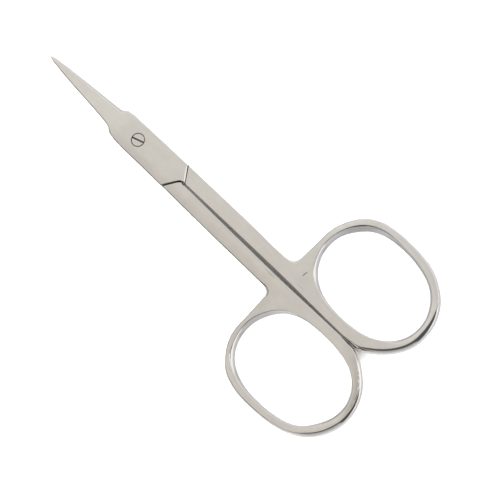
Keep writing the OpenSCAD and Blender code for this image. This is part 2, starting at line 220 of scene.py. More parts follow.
def outline(which):
    """Closed outline, in order: cutting side from the tip back, shank, bow, gap, plate end, spine side to the tip.
    Each row: x, a, inset of the face's edge, face height, wall kind."""
    rows = []

    def add(x, a, inset, h, kind):
        n = len(x)
        rows.append(np.stack([x, a, np.broadcast_to(inset, n), np.broadcast_to(h, n), np.broadcast_to(kind, n)], -1))

    # cutting side of the blade and the joint plate
    x = np.concatenate([TIP_X - np.array([0, .05, .12, .22, .36, .55, .8]), np.arange(TIP_X - 1.1, 7.8, -.33), np.arange(7.7, 4.0, -.12), np.arange(3.9, -9.9, -.33)])
    w = edge_a(x)
    h = tab(TOP, x) - tab(DROP, x)
    bevel = ss((x - 4.2) / 2.4)
    inset = np.where(x > 6.4, np.minimum(.36, .5 * w), mix(.28, .36, ss((x - 4) / 3)))
    add(x, w, inset, np.where(x > 4, h, JOINT_T), 2 * bevel)
    # shank, outer edge
    x = np.concatenate([np.arange(-10.0, -11.5, -.06), np.arange(-11.7, -35.2, -.33)])
    add(x, tab(SHANK[which], x), .28, 0, 0)
    # corner into the bow
    leg = {"upper": 2.35, "lower": 1.75}[which]
    w = float(tab(SHANK[which], np.array([-36.5]))[()][0])
    t = np.linspace(0, 1, 22)
    p = bez((-39.02 + leg, w), (-38.98, w + .05), (-39.0, w + leg), t)
    s = ss(t)
    add(p[:, 0], p[:, 1], mix(.28, .46, s) + (.26 if which == "lower" else .02) * np.sin(np.pi * t), 0, .6 * s)
    # bow, outer outline
    th = np.arange(-17, 296, .75)
    d = tab(OUTER[which], np.clip(th, 0, 240))
    q = ref_off(th, d)
    base = oval(th)
    k = ss((th + 2) / 16) * (1 - ss((th - 226) / 16))
    p = mix(base, q, k[:, None])
    a_gap = tab(GAP_T, p[:, 0])
    p[:, 1] = np.maximum(p[:, 1], a_gap)
    add(p[:, 0], p[:, 1], tab(WALL_OUT[which], th), 0, mix(.6, 1, ss((th + 20) / 30)) * (1 - ss((th - 246) / 16)))
    # gap side, from the bow to the joint
    x = np.concatenate([np.arange(p[-1, 0] + .35, -13.1, .33), np.arange(-13, -12.15, .06)])
    add(x, tab(GAP_T, x), .13, 0, 0)
    x = np.array([-12.1, -11.95, -11.85])
    add(x, np.array([.13, .1, .075]), .12, 0, 0)
    # slanted end of the joint plate, rounded at the gap's corner
    pts = np.array([[-11.7, .04], [-11.5, -.1], [-11.36, -.3], [-11.0, -.78], [-10.3, -1.85], [-9.62, -2.85], [-9.4, -3.18]])
    seg = [pts[0]]
    for i in range(len(pts) - 1):
        n = max(1, int(np.linalg.norm(pts[i + 1] - pts[i]) / .16))
        for j in range(1, n + 1):
            seg.append(mix(pts[i], pts[i + 1], j / n))
    seg = np.array(seg)[:-1]
    add(seg[:, 0], seg[:, 1], .1, JOINT_T, 3)
    # spine side
    x = np.concatenate([[-9.4, -9.3, -9.15], np.arange(-9, 3.9, .33), np.arange(4, 7.8, .12), np.arange(7.9, TIP_X - 1, .33), TIP_X - np.array([.8, .55, .36, .22, .12, .05, 0])])
    if which == "upper":
        w = spine_a(x + .14 * ss((x - 4.4) / .8) * (1 - ss((x - 6.6) / 1.2))) + .07 * (1 - ss((x - 3) / 3))
    else:
        w = spine_a(x - .32 * ss(x - 3.8) * (1 - ss(x - 6.8))) - .09 * ss((x + 4) / 3) * (1 - ss((x - 3.0) / 1.2))
        w = w + .08 * ss((x - 7) / 1.5) * (1 - ss((x - 13) / 5))
    add(x, -w, np.minimum(.27, .5 * w), np.where(x > 4, tab(TOP, x), JOINT_T), 0)
    return np.concatenate(rows)


def resample_normals(p):
    """Inward normal at each point of a closed outline that runs with its inside on the left."""
    d = np.roll(p, -1, 0) - p
    d /= np.maximum(np.linalg.norm(d, axis=1), 1e-9)[:, None]
    t = d + np.roll(d, 1, 0)
    t /= np.maximum(np.linalg.norm(t, axis=1), 1e-9)[:, None]
    return np.stack([-t[:, 1], t[:, 0]], -1)


# --- heights of the face ---------------------------------------------------------------------
# The plate ends on its own shank in a ground bevel: top line and foot line, as [x, a]
BEV_TOP = np.array([[-9.94, 3.6], [-12.44, .0]])
BEV_FOOT = np.array([[-10.18, 3.6], [-12.76, .0]])
BEV_GROOVE = np.array([[-10.33, 3.6], [-12.84, .0]])
BEV_END = np.array([[-10.48, 3.6], [-12.92, .0]])


def side_of(line, x, a):
    """Signed distance in front of a line (towards the tips is positive)."""
    (x0, a0), (x1, a1) = line
    n = np.array([a0 - a1, -(x0 - x1)])
    n /= np.linalg.norm(n)
    if n[0] < 0:
        n = -n
    return (x - x0) * n[0] + (a - a0) * n[1]


def z_shank(x):
    return mix(JOINT_T - STEP, JOINT_T, np.clip((-12.6 - x) / (38.9 - 12.6), 0, 1) ** 1.4)


def z_blade(x, a):
    """Face of the blade: highest along the spine, lower at the cutting edge."""
    w = np.maximum(spine_a(x), .05)
    k = np.clip((a + w) / (2 * w), 0, 1)
    return tab(TOP, x) - tab(DROP, x) * k


def z_face(x, a):
    """Height of the plate, its end bevel with the fine groove at the foot, and the shank."""
    x, a = np.asarray(x, float), np.asarray(a, float)
    top = side_of(BEV_TOP, x, a)
    foot = side_of(BEV_FOOT, x, a)
    grv = side_of(BEV_GROOVE, x, a)
    end = side_of(BEV_END, x, a)
    front = (top > 0) | ((a < .03) & (x > -13))
    k = np.clip(-top / np.maximum(foot - top, 1e-6), 0, 1)
    zf = np.where(x > 4, z_blade(x, a), JOINT_T)
    zs = z_shank(x)
    deep = zs - .13
    g1 = np.clip(-foot / np.maximum(grv - foot, 1e-6), 0, 1)
    g2 = np.clip(-grv / np.maximum(end - grv, 1e-6), 0, 1)
    z = np.where(end < 0, zs, mix(deep, zs, g2))
    z = np.where(grv > 0, mix(zs + .02, deep, g1), z)
    z = np.where(foot > 0, mix(JOINT_T, zs + .02, k), z)
    return np.where(front, zf, z)


def ring_place(x, a):
    """Angle round the bow and distance outside its reference oval, for points in the plane."""
    th = np.arange(0, 360, .5)
    r = ref(th)
    P = np.stack([np.atleast_1d(x), np.atleast_1d(a)], -1)
    ang = np.zeros(len(P))
    dist = np.zeros(len(P))
    t = ref(th + .2) - ref(th - .2)
    t /= np.linalg.norm(t, axis=1)[:, None]
    nr = np.stack([t[:, 1], -t[:, 0]], -1)
    for k in range(0, len(P), 4000):
        q = P[k:k + 4000]
        d = np.linalg.norm(q[:, None] - r[None], axis=-1)
        i = d.argmin(1)
        ang[k:k + 4000] = th[i]
        dist[k:k + 4000] = ((q - r[i]) * nr[i]).sum(-1)
    return ang, dist


CROWN_OUT = {"upper": [[-10, .04], [10, .14], [50, .12], [70, .08], [100, .12], [130, .08], [160, 0], [228, .01], [244, 0], [345, 0]],
             "lower": [[-10, 0], [10, .05], [60, .08], [110, .05], [140, 0], [172, .03], [190, .19], [205, .3], [230, .33], [246, .11], [256, 0], [350, 0]]}
CROWN_IN = {"upper": [[0, 0], [60, .03], [100, .03], [140, .04], [170, .09], [205, .15], [235, .05], [250, .02], [300, .01], [360, 0]],
            "lower": [[0, .03], [14, .06], [30, .05], [60, .05], [110, .05], [140, .13], [170, .14], [190, .05], [240, .03], [300, .02], [360, .03]]}


def crown(which, x, a):
    """How far the bow's face is rounded down below its full height."""
    x = np.atleast_1d(np.asarray(x, float))
    a = np.atleast_1d(np.asarray(a, float))
    out = np.zeros(len(x))
    m = x < -38.5
    if not m.any():
        return out
    th, d = ring_place(x[m], a[m])
    tw = np.where(th > 300, th - 360, th)
    din = ring_tab(HOLE[which], 10, th) + tab(WALL_IN[which], tw)
    dout = tab(OUTER[which], np.clip(th, 0, 240)) - tab(WALL_OUT[which], np.where(th > 340, th - 360, th))
    dout = np.where((th > 240) & (th < 352), 2.6, dout)
    t = np.clip((d - din) / np.maximum(dout - din, .3), 0, 1)
    co = tab(CROWN_OUT[which], np.where(th > 350, th - 360, th))
    ci = tab(CROWN_IN[which], th)
    out[m] = co * t ** 1.7 + ci * (1 - t) ** 1.7
    return out * ss((-38.6 - x) / 2.5)


# --- wall profiles ---------------------------------------------------------------------------
def profile(kind, inset, h, r, n=11):
    """Rows from the face's edge to the mid plane, as (distance in from the outline, height).
    kind 0: rounded edge on a straight wall. 1: rolled wall of a bow. 2: ground bevel of a cutting edge. 3: plain end wall."""
    q = np.linspace(0, 1, n)
    # 0: a narrow broken edge, softened above and below, then straight down
    px = np.array([0, .12, .26, .44, .64, .84, .96, 1.0])
    pz = np.array([0, .03, .12, .28, .48, .70, .88, 1.10])
    dep = min(inset * .78, .42 * h)
    m = len(px)
    round_in = np.concatenate([inset * (1 - px), np.zeros(n - m)])
    round_z = np.concatenate([h - dep * pz, (h - dep * 1.10) * (1 - np.linspace(0, 1, n - m + 1)[1:])])
    # 1: small fillet at the face's edge, then a full wall that gets steeper to the mid plane
    f = min(.13, .3 * inset + .03)
    z1 = 1 - f / h
    e = 3 if kind <= 1 else 1.9
    fil = np.array([[inset + f * .9, h], [inset + f * .28, h - f * .05], [inset * z1 ** e + (inset - inset * z1 ** e) * .62, h - f * .42], [inset * z1 ** e, h * z1]])
    zz = z1 * (1 - np.linspace(0, 1, n - 3)[1:])
    roll_in = np.concatenate([fil[:, 0], inset * zz ** e])
    roll_z = np.concatenate([fil[:, 1], h * zz])
    # 2: bevel down to the cutting edge
    bev_in = inset * (1 - q)
    bev_z = mix(h, .05, q)
    bev_z[-1] = 0
    # 3: plain wall with a small rounded edge
    ang = np.linspace(0, np.pi / 2, 5)
    end_in = np.concatenate([inset * (1 - np.sin(ang)), np.zeros(n - 5)])
    end_z = np.concatenate([h - inset * (1 - np.cos(ang)), (h - inset) * (1 - np.linspace(0, 1, n - 5 + 1)[1:])])
    if kind >= 3:
        return end_in, end_z
    if kind == 1.5:
        return roll_in, roll_z
    if kind <= 1:
        return mix(round_in, roll_in, kind), mix(round_z, roll_z, kind)
    s = min(1, max(0, kind / 2))
    return mix(round_in, bev_in, s), mix(round_z, bev_z, s)


def wall_rows(which, loop, into, seam):
    """Points of the wall rows, shape (rows, points, 3), from the face's edge to the mid plane."""
    nrm = resample_normals(loop[:, :2]) * into
    n = 11
    out = np.zeros((n, len(loop), 3))
    for i, (x, a, inset, h, kind) in enumerate(loop):
        if h <= 0:
            fx, fa = x + nrm[i, 0] * inset, a + nrm[i, 1] * inset
            h = float(z_face(fx, fa)) - float(crown(which, fx, fa)[0])
        pi, pz = profile(kind, inset, h, .1, n)
        groove = seam[i] * np.clip(1 - pz / .1, 0, 1) * .05
        out[:, i, 0] = x + nrm[i, 0] * (pi + groove)
        out[:, i, 1] = a + nrm[i, 1] * (pi + groove)
        out[:, i, 2] = pz
    return out


def inside(poly, pts):
    x, y = pts[:, 0], pts[:, 1]
    c = np.zeros(len(pts), bool)
    p0 = poly
    p1 = np.roll(poly, -1, 0)
    for (x0, y0), (x1, y1) in zip(p0, p1):
        m = (y0 > y) != (y1 > y)
        if m.any():
            xi = x0 + (y - y0) * (x1 - x0) / (y1 - y0 if y1 != y0 else 1e-12)
            c ^= m & (x < xi)
    return c


def dist_to(poly, pts, closed=True):
    """Distance of points to a polyline."""
    a = poly
    b = np.roll(poly, -1, 0) if closed else poly[1:]
    if not closed:
        a = poly[:-1]
    best = np.full(len(pts), 1e9)
    for k in range(0, len(pts), 4000):
        P = pts[k:k + 4000]
        ab = b - a
        t = np.clip(((P[:, None] - a[None]) * ab[None]).sum(-1) / np.maximum((ab ** 2).sum(-1), 1e-12)[None], 0, 1)
        d = np.linalg.norm(P[:, None] - (a[None] + ab[None] * t[..., None]), axis=-1)
        best[k:k + 4000] = d.min(1)
    return best


def build_blank(which):
    """The whole forging of one half, as vertices and faces in [x, a, z], symmetrical about its mid plane."""
    loop = outline(which)
    d = np.linalg.norm(np.roll(loop[:, :2], -1, 0) - loop[:, :2], axis=1)
    loop = loop[d > .012]
    seam = np.where((loop[:, 0] > -9.4) & (loop[:, 4] < 1.2), 1.0, 0.0)
    th = np.arange(0, 360, 1.5)
    dh = ring_tab(HOLE[which], 10, th)
    hp = ref_off(th, dh)
    thw = np.where(th > 300, th - 360, th)
    hole = np.stack([hp[:, 0], hp[:, 1], tab(WALL_IN[which], thw), np.zeros(len(th)), np.ones(len(th))], -1)
    hole = hole[::-1]
    outer_w = wall_rows(which, loop, 1, seam)
    hole[:, 4] = 1.5
    hole_w = wall_rows(which, hole, 1, np.zeros(len(hole)))
    n_o, n_h, rows = len(loop), len(hole), outer_w.shape[0]

    fo, fh = outer_w[0, :, :2], hole_w[0, :, :2]
    # points inside the face
    lo, hi = fo.min(0), fo.max(0)
    g = .36
    xs = np.arange(lo[0], hi[0], g)
    pts = []
    for j, y in enumerate(np.arange(lo[1], hi[1], g * .866)):
        pts.append(np.stack([xs + (g / 2 if j % 2 else 0), np.full(len(xs), y)], -1))
    pts = np.concatenate(pts)
    pts = pts[inside(fo, pts)]
    pts = pts[~inside(fh, pts)]
    pts = pts[(dist_to(fo, pts) > .13) & (dist_to(fh, pts) > .13)]
    # crease lines of the bevel at the plate's end
    creases = []
    for line in (BEV_TOP, BEV_FOOT, BEV_GROOVE, BEV_END):
        t = np.linspace(0, 1, 180)[:, None]
        c = line[0] + (line[1] - line[0]) * t
        m = inside(fo, c)
        c = c[m]
        c = c[dist_to(fo, c) > .02]
        creases.append(c[:: 5])
    cr = np.concatenate(creases)
    for c in creases:
        pts = pts[dist_to(c, pts, False) > .09]
    allp = np.concatenate([fo, fh, cr, pts])
    edges = [(i, (i + 1) % n_o) for i in range(n_o)] + [(n_o + i, n_o + (i + 1) % n_h) for i in range(n_h)]
    base = n_o + n_h
    for c in creases:
        edges += [(base + i, base + i + 1) for i in range(len(c) - 1)]
        base += len(c)
    v, e, f, ov, oe, of_ = delaunay_2d_cdt([Vector(p) for p in allp], edges, [], 0, 1e-6)
    v = np.array([tuple(p) for p in v])
    # where each input point ended up
    where = {}
    for i, o in enumerate(ov):
        for k in o:
            where[k] = i
    tri = np.array([t for t in f if len(t) == 3])
    cen = v[tri].mean(1)
    ok = inside(fo, cen) & ~inside(fh, cen)
    tri = tri[ok]
    z = z_face(v[:, 0], v[:, 1]) - crown(which, v[:, 0], v[:, 1])
    zmap = {}
    for i in range(n_o):
        zmap[where[i]] = outer_w[0, i, 2]
    for i in range(n_h):
        zmap[where[n_o + i]] = hole_w[0, i, 2]
    for k, val in zmap.items():
        z[k] = val
    face_v = np.column_stack([v, z])
    fix = np.zeros(len(v), bool)
    for k in zmap:
        fix[k] = True

    verts = [face_v]
    n_f = len(face_v)
    # wall rows after the first
    o_id = np.zeros((rows, n_o), int)
    h_id = np.zeros((rows, n_h), int)
    o_id[0] = [where[i] for i in range(n_o)]
    h_id[0] = [where[n_o + i] for i in range(n_h)]
    nxt = n_f
    for r in range(1, rows):
        verts.append(outer_w[r])
        o_id[r] = nxt + np.arange(n_o)
        nxt += n_o
        verts.append(hole_w[r])
        h_id[r] = nxt + np.arange(n_h)
        nxt += n_h
    top = np.concatenate(verts)
    top[o_id[-1], 2] = 0
    top[h_id[-1], 2] = 0
    on_mid = np.zeros(len(top), bool)
    on_mid[o_id[-1]] = True
    on_mid[h_id[-1]] = True
    # faces: keep all counter-clockwise seen from +z in [x, a]
    t2 = v[tri]
    area = (t2[:, 1, 0] - t2[:, 0, 0]) * (t2[:, 2, 1] - t2[:, 0, 1]) - (t2[:, 1, 1] - t2[:, 0, 1]) * (t2[:, 2, 0] - t2[:, 0, 0])
    tri = np.where(area[:, None] > 0, tri, tri[:, ::-1])
    faces = [tuple(t) for t in tri]
    for ids, n in ((o_id, n_o), (h_id, n_h)):
        for r in range(rows - 1):
            for i in range(n):
                j = (i + 1) % n
                a, b, c, dd = ids[r, i], ids[r + 1, i], ids[r + 1, j], ids[r, j]
                if len({a, b, c, dd}) < 3:
                    continue
                faces.append((a, b, c, dd) if len({a, b, c, dd}) == 4 else tuple(dict.fromkeys((a, b, c, dd))))
    # mirror below the mid plane, where the shank's height runs on to the shoulder with no plate and no bevel
    low = top.copy()
    m = low[:, 0] > -13.6
    low[m, 2] *= z_shank(low[m, 0]) / z_face(low[m, 0], low[m, 1])
    low[:, 2] *= -1
    idx = np.arange(len(top)) + len(top)
    idx[on_mid] = np.arange(len(top))[on_mid]
    allv = np.concatenate([top, low])
    allf = faces + [tuple(int(idx[k]) for k in reversed(t)) for t in faces]
    return allv, allf


def new_mesh(name, verts, faces):
    me = bpy.data.meshes.new(name)
    me.from_pydata([tuple(p) for p in verts], [], [tuple(int(i) for i in f) for f in faces])
    me.validate(clean_customdata=False)
    me.update()
    ob = bpy.data.objects.new(name, me)
    bpy.context.scene.collection.objects.link(ob)
    return ob


def clean(ob, dist=1e-5):
    import bmesh
    bm = bmesh.new()
    bm.from_mesh(ob.data)
    bmesh.ops.remove_doubles(bm, verts=bm.verts, dist=dist)
    bmesh.ops.dissolve_degenerate(bm, edges=bm.edges, dist=dist)
    loose = [v for v in bm.verts if not v.link_faces]
    bmesh.ops.delete(bm, geom=loose, context="VERTS")
    bmesh.ops.recalc_face_normals(bm, faces=bm.faces)
    bad = sum(1 for e in bm.edges if not e.is_manifold)
    bm.to_mesh(ob.data)
    bm.free()
    return bad


def cut(ob, tools, op="DIFFERENCE"):
    for t in tools:
        m = ob.modifiers.new("cut", "BOOLEAN")
        m.operation = op
        m.object = t
        try:
            m.solver = "MANIFOLD"
        except TypeError:
            m.solver = "EXACT"
        dg = bpy.context.evaluated_depsgraph_get()
        dg.update()
        me = bpy.data.meshes.new_from_object(ob.evaluated_get(dg))
        n = len(me.polygons)
        if n < 100:
            m.solver = "EXACT"
            dg = bpy.context.evaluated_depsgraph_get()
            dg.update()
            me = bpy.data.meshes.new_from_object(ob.evaluated_get(dg))
            n = len(me.polygons)
        ob.modifiers.clear()
        old = ob.data
        ob.data = me
        bpy.data.meshes.remove(old)
        bpy.data.objects.remove(t)
        print("cut", ob.name, n)


def prism(name, levels):
    """A closed solid from polygons of equal length stacked in z: levels is [(z, [[x, a], ...]), ...] from low to high."""
    n = len(levels[0][1])
    v, f = [], []
    for z, poly in levels:
        v += [(p[0], p[1], z) for p in poly]
    area = sum(levels[0][1][i][0] * levels[0][1][(i + 1) % n][1] - levels[0][1][(i + 1) % n][0] * levels[0][1][i][1] for i in range(n))
    ccw = area > 0
    for k in range(len(levels) - 1):
        for i in range(n):
            j = (i + 1) % n
            q = (k * n + i, k * n + j, (k + 1) * n + j, (k + 1) * n + i)
            f.append(q if ccw else q[::-1])
    b = tuple(range(n))
    t = tuple(range((len(levels) - 1) * n, len(levels) * n))
    f.append(b[::-1] if ccw else b)
    f.append(t if ccw else t[::-1])
    return new_mesh(name, v, f)


def lathe(name, prof, n=128, cx=0.0, cy=0.0):
    """A closed solid of revolution round z from a profile [(r, z), ...] from the bottom up; its first and last r are 0."""
    v, f = [], []
    ids = []
    for r, z in prof:
        if r < 1e-9:
            v.append((cx, cy, z))
            ids.append([len(v) - 1] * n)
        else:
            ids.append(list(range(len(v), len(v) + n)))
            v += [(cx + r * math.cos(2 * math.pi * i / n), cy + r * math.sin(2 * math.pi * i / n), z) for i in range(n)]
    for k in range(len(prof) - 1):
        for i in range(n):
            j = (i + 1) % n
            q = [ids[k][i], ids[k][j], ids[k + 1][j], ids[k + 1][i]]
            q = list(dict.fromkeys(q))
            if len(q) > 2:
                f.append(tuple(q))
    return new_mesh(name, v, f)


END = .31
SHOULDER = [[-9.4 - END * 1.15, 6], [-9.4 - END * 1.15, joint_w], [-9.62 - END * 1.12, 2.85], [-10.3 - END, 1.85], [-11.0 - END, .78],
            [-11.3 - END, .42], [-11.46 - END, .26], [-11.66 - END, .15], [-12.1 - END, .1], [-12.1 - END, -.6], [-11.9, -6], [30, -6], [30, 6]]


def shoulder_tool():
    p = np.array(SHOULDER)
    flare = p.copy()
    flare[:10, 0] -= .07
    flare2 = p.copy()
    flare2[:10, 0] -= .6
    z0 = -(JOINT_T - STEP)
    return prism("tool_front", [(-3.0, flare2), (z0 - .02, flare), (z0 + .07, p), (GAP, p)])


def hollow_tool(blade=True):
    """Shallow trough ground along a blade's inner face, fading out at the tip."""
    r, n = 5.0, 240
    depth = .14
    L = TIP_X - 1.2 - 6.2
    ang = math.atan(depth / L)
    v, f = [], []
    x0, z0 = 6.2, GAP + depth - r
    for k in range(2):
        s = (L + .3) * k
        for i in range(n):
            t = 2 * math.pi * i / n
            px, py, pz = x0, .03 + r * math.sin(t), r * math.cos(t)
            # axis leans down towards the tip
            v.append((x0 + s * math.cos(ang) + pz * math.sin(ang), py, z0 + pz * math.cos(ang) - s * math.sin(ang)))
    for i in range(n):
        j = (i + 1) % n
        f.append((i, i + n, j + n, j))
    f.append(tuple(range(n)))
    f.append(tuple(reversed(range(n, 2 * n))))
    ob = new_mesh("tool_hollow", v, f)
    clean(ob)
    return ob


def finish_half(ob, which):
    """Into the frame's metres, with face attributes for the materials and edges marked sharp."""
    me = ob.data
    n = len(me.vertices)
    co = np.zeros(n * 3)
    me.vertices.foreach_get("co", co)
    co = co.reshape(-1, 3)
    if which == "upper":
        co = co * np.array([1, -1, 1])
    else:
        # half a turn about the long axis: a = +y, and its own z points down
        co = co * np.array([1, 1, -1])
    co = co + np.array([0, 0, JOINT_T])
    co = co * MM + np.array([PIVOT[0], PIVOT[1], 0])
    me.vertices.foreach_set("co", co.ravel())
    me.update()
    bad = clean(ob, 2e-9)
    print(ob.name, "faces", len(ob.data.polygons), "non-manifold edges", bad)
    me = ob.data
    mark(me, which)


def mark(me, which):
    """Smooth shading with sharp edges by angle, and face values for the materials: the inner faces, and where shade is
    painted into the colour.
    """
    import bmesh
    bm = bmesh.new()
    bm.from_mesh(me)
    lim = math.radians(21)
    for e in bm.edges:
        e.smooth = not (len(e.link_faces) == 2 and e.calc_face_angle(0) > lim)
    for f in bm.faces:
        f.smooth = True
    bm.to_mesh(me)
    bm.free()
    nf = len(me.polygons)
    nz = np.zeros(nf * 3)
    me.polygons.foreach_get("normal", nz)
    nz = nz.reshape(-1, 3)
    ce = np.zeros(nf * 3)
    me.polygons.foreach_get("center", ce)
    ce = ce.reshape(-1, 3)
    # pivot coordinates in mm
    p = (ce - np.array([PIVOT[0], PIVOT[1], 0])) / MM - np.array([0, 0, JOINT_T])
    sgn = 1 if which == "upper" else -1
    own = p.copy()
    own[:, 2] *= sgn
    own[:, 1] = -p[:, 1] if which == "upper" else p[:, 1]
    onz = nz[:, 2] * sgn
    inner = (onz < -.9) & (own[:, 2] < .3) & (own[:, 0] > -13) & (own[:, 2] > -.1)
    # painted shade: this face value paints a dark brown into the colour round the pivot, on the gap's walls, on the
    # plate's slanted end and in the groove at the bevel's foot, where shade falls
    recess_shade = np.zeros(nf)
    r = np.hypot(p[:, 0], p[:, 1])
    recess_shade[(r < 1.4) & (abs(nz[:, 2]) < .95)] = 1.0
    gap_wall = (own[:, 1] < .6) & (own[:, 0] < -11.3) & (abs(nz[:, 2]) < .35) & (own[:, 0] > -57)
    recess_shade[gap_wall] = .57
    end_wall = (own[:, 0] < -9.2) & (own[:, 0] > -12.7) & (abs(nz[:, 2]) < .5) & (own[:, 1] < .2)
    recess_shade[end_wall] = .75
    foot, far = side_of(BEV_FOOT, own[:, 0], own[:, 1]), side_of(BEV_END, own[:, 0], own[:, 1])
    groove = (foot < .01) & (far > 0) & (own[:, 1] > .1) & (own[:, 2] > 1.2) & (onz > .3)
    recess_shade[groove] = .95
    recess_shade[gap_wall & (own[:, 0] > -27)] = 1.0
    rp_th, rp_d = ring_place(own[:, 0], own[:, 1])
    # painted shade and painted reflection: the bows' inner walls get a darker colour, stronger at some angles round the
    # bow and towards the mid plane
    hole = (own[:, 0] < -38.9) & (rp_d < 1.2) & (own[:, 1] > .6) & (abs(nz[:, 2]) < .97)
    din = ring_tab(HOLE[which], 10, rp_th)
    hole &= rp_d < din + tab(WALL_IN[which], np.where(rp_th > 300, rp_th - 360, rp_th)) + .05
    a = me.attributes.new("bore", "FLOAT", "FACE")
    bore_shade_by_angle = {"upper": [[0, 1.0], [18, 1.25], [50, 1.25], [64, 1.0], [300, 1.0], [314, .35], [342, .35], [352, 1.0]],
           "lower": [[0, 1.1], [10, 1.0], [18, .35], [48, .35], [58, 1.0], [330, 1.0], [350, 1.1]]}[which]
    a.data.foreach_set("value", (hole * tab(bore_shade_by_angle, rp_th) * np.clip(1.25 - abs(own[:, 2]) * .75, 0, 1)).astype(np.float32))
    a = me.attributes.new("inner", "FLOAT", "FACE")
    a.data.foreach_set("value", inner.astype(np.float32))
    a = me.attributes.new("recess_shade", "FLOAT", "FACE")
    a.data.foreach_set("value", recess_shade.astype(np.float32))


def make_half(which):
    v, f = build_blank(which)
    ob = new_mesh(which + "_half_ground", v, f)
    bad = clean(ob, 1e-6)
    print(which, "blank", len(ob.data.polygons), "non-manifold", bad)
    tools = [shoulder_tool(), hollow_tool()]
    if which == "upper":
        tools.append(lathe("tool_bore", [(0, -1), (.92, -1), (.92, 1.3), (.92, 3), (0, 3)]))
        s0 = JOINT_T - .62
        tools.append(lathe("tool_seat", [(0, s0), (1.29, s0), (1.29, JOINT_T - .08), (1.39, JOINT_T + .02), (1.39, 3), (0, 3)]))
    else:
        # its own z points down here: the countersink is on the plate's outer face
        tools.append(lathe("tool_bore", [(0, -1), (.9, -1), (.9, 1.4), (1.28, 1.78), (1.28, 3), (0, 3)]))
    cut(ob, tools)
    finish_half(ob, which)
    return ob


def make_screw():
    top, bot = JOINT_T - .01, -JOINT_T + .01
    r = .9
    prof = [(0, bot), (r + .22, bot), (r + .27, bot + .02), (r + .28, bot + .05), (r, bot + .33), (r, JOINT_T - .6), (1.24, JOINT_T - .6)]
    f = .09
    prof += [(1.24, top - f - .01)]
    for t in np.linspace(0, 90, 7)[1:]:
        prof.append((1.24 - f + f * math.cos(math.radians(t)), top - f - .01 + f * math.sin(math.radians(t))))
    prof += [(1.0, top - .006), (.6, top - .002), (0, top)]
    ob = lathe("screw_ground", prof, 160)
    clean(ob, 1e-6)
    # driver slot, a little rounded at its mouth
    w = .15
    c, s = math.cos(math.radians(17.7)), math.sin(math.radians(17.7))

    def rect(w):
        return [(x * c - y * s, x * s + y * c) for x, y in ((-2, -w), (2, -w), (2, w), (-2, w))]
    slot = prism("tool_slot", [(top - .3, rect(w)), (top - .03, rect(w)), (top + .03, rect(w + .045)), (top + .5, rect(w + .045))])
    cut(ob, [slot])
    me = ob.data
    co = np.zeros(len(me.vertices) * 3)
    me.vertices.foreach_get("co", co)
    co = (co.reshape(-1, 3) + np.array([0, 0, JOINT_T])) * MM + np.array([PIVOT[0], PIVOT[1], 0])
    me.vertices.foreach_set("co", co.ravel())
    me.update()
    bad = clean(ob, 2e-9)
    print("screw faces", len(ob.data.polygons), "non-manifold", bad)
    import bmesh
    bm = bmesh.new()
    bm.from_mesh(ob.data)
    for e in bm.edges:
        e.smooth = not (len(e.link_faces) == 2 and e.calc_face_angle(0) > math.radians(26))
    for f_ in bm.faces:
        f_.smooth = True
    bm.to_mesh(ob.data)
    bm.free()
    me = ob.data
    nf = len(me.polygons)
    ce = np.zeros(nf * 3)
    me.polygons.foreach_get("center", ce)
    nz = np.zeros(nf * 3)
    me.polygons.foreach_get("normal", nz)
    ce, nz = ce.reshape(-1, 3) / MM, nz.reshape(-1, 3)
    z = ce[:, 2] - JOINT_T
    # painted shade on the screw: its sides below the head's top face and the walls of the driver slot take the dark
    # recess colour
    g = np.zeros(nf)
    g[(z < top - .04) & (z > .8)] = 1.0
    g[(z > top - .29) & (abs(nz[:, 2]) < .3)] = .9
    a = me.attributes.new("recess_shade", "FLOAT", "FACE")
    a.data.foreach_set("value", g.astype(np.float32))
    return ob


